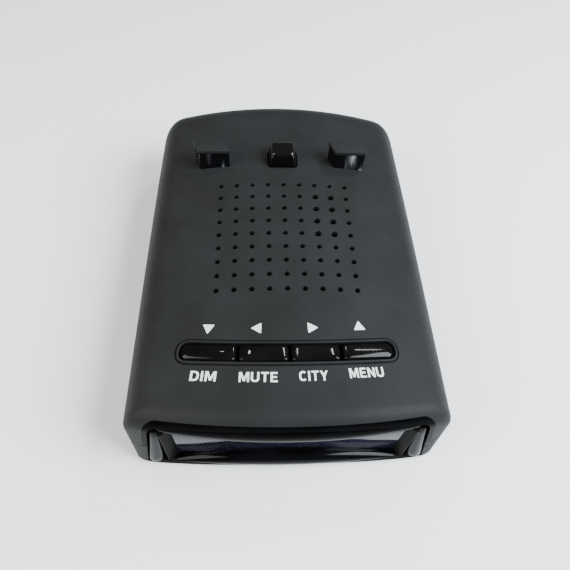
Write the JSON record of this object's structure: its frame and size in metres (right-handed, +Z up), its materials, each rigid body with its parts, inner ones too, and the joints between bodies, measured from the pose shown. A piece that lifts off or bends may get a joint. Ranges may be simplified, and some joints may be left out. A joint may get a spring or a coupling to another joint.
{
  "type": "radar detector",
  "caption": "Dash-top radar detector: flat crowned case with a speaker grille, raised alert lights, a row of press keys and a recessed display.",
  "frame": {"origin": "centre of the footprint, on the surface the rubber feet stand on", "axes": "+Z up, +Y towards the nose and the road ahead, +X to the driver's right; the display faces -Y"},
  "size_m": [0.0708, 0.105, 0.0328],
  "materials": {
    "case_black": "soft-touch matte",
    "gloss_black": "high gloss",
    "satin_black": "satin",
    "smoke_window": "smoked, clear",
    "clear_window": "smoky clear",
    "led_lens": "clear dome",
    "nose_window": "dark radar-clear plastic",
    "red_lens": "polished",
    "sensor_dark": "dark resin",
    "circuit_board": "solder mask",
    "display_glass": "glass-faced",
    "ribbon": "polyimide",
    "cast_metal": "die cast",
    "tin_can": "tinned",
    "ceramic": "ceramic",
    "speaker_frame": "pressed",
    "magnet": "plated",
    "speaker_cone": "doped paper",
    "foam": "closed foam",
    "plunger": "moulded",
    "socket_black": "moulded",
    "contact": "plated",
    "screw_steel": "black zinc",
    "rubber": "matte",
    "capacitor": "sleeved",
    "connector": "nylon",
    "label": "printed film"
  },
  "bodies": {
    "case": {"top_cover": "case_black", "bottom_cover": "case_black", "display_brow": "gloss_black", "display_ledge": "gloss_black", "window_frame": "gloss_black", "display_window": "smoke_window", "left_post": "satin_black", "right_post": "satin_black", "rear_laser_lens": "gloss_black", "left_alert_window": "clear_window", "right_alert_window": "clear_window", "left_alert_hood": "case_black", "right_alert_hood": "case_black", "left_alert_led": "led_lens", "right_alert_led": "led_lens", "nose_window": "nose_window", "front_laser_lens": "red_lens", "front_laser_sensor": "sensor_dark", "rear_laser_sensor": "sensor_dark", "main_board": "circuit_board", "display_board": "circuit_board", "display_panel": "display_glass", "display_ribbon": "ribbon", "horn_antenna": "cast_metal", "microwave_board": "circuit_board", "microwave_shield": "tin_can", "gps_antenna": "ceramic", "gps_receiver": "tin_can", "speaker_basket": "speaker_frame", "speaker_magnet": "magnet", "speaker_cone": "speaker_cone", "speaker_gasket": "foam", "switch_bodies": "socket_black", "jack_housing": "socket_black", "jack_contacts": "contact", "usb_shell": "tin_can", "usb_tongue": "socket_black", "case_screws": "screw_steel", "board_screws": "screw_steel", "rubber_feet": "rubber", "processor": "socket_black", "logic_chips": "socket_black", "capacitors": "capacitor", "crystal": "tin_can", "chip_resistors": "socket_black", "board_connectors": "connector", "backup_cell": "tin_can", "lens_holder": "case_black", "rating_plate": "label"},
    "dim_key": {"dim_key": "gloss_black", "dim_plunger": "plunger"},
    "mute_key": {"mute_key": "gloss_black", "mute_plunger": "plunger"},
    "city_key": {"city_key": "gloss_black", "city_plunger": "plunger"},
    "menu_key": {"menu_key": "gloss_black", "menu_plunger": "plunger"}
  },
  "joints": [
    {"name": "dim_key_press", "type": "slide", "parent": "case", "child": "dim_key", "axis": [0, 0, -1], "range_m": [0, 0.0004], "stiffness_N_per_m": 1500, "springref_m": -0.0003},
    {"name": "mute_key_press", "type": "slide", "parent": "case", "child": "mute_key", "axis": [0, 0, -1], "range_m": [0, 0.0004], "stiffness_N_per_m": 1500, "springref_m": -0.0003},
    {"name": "city_key_press", "type": "slide", "parent": "case", "child": "city_key", "axis": [0, 0, -1], "range_m": [0, 0.0004], "stiffness_N_per_m": 1500, "springref_m": -0.0003},
    {"name": "menu_key_press", "type": "slide", "parent": "case", "child": "menu_key", "axis": [0, 0, -1], "range_m": [0, 0.0004], "stiffness_N_per_m": 1500, "springref_m": -0.0003}
  ]
}
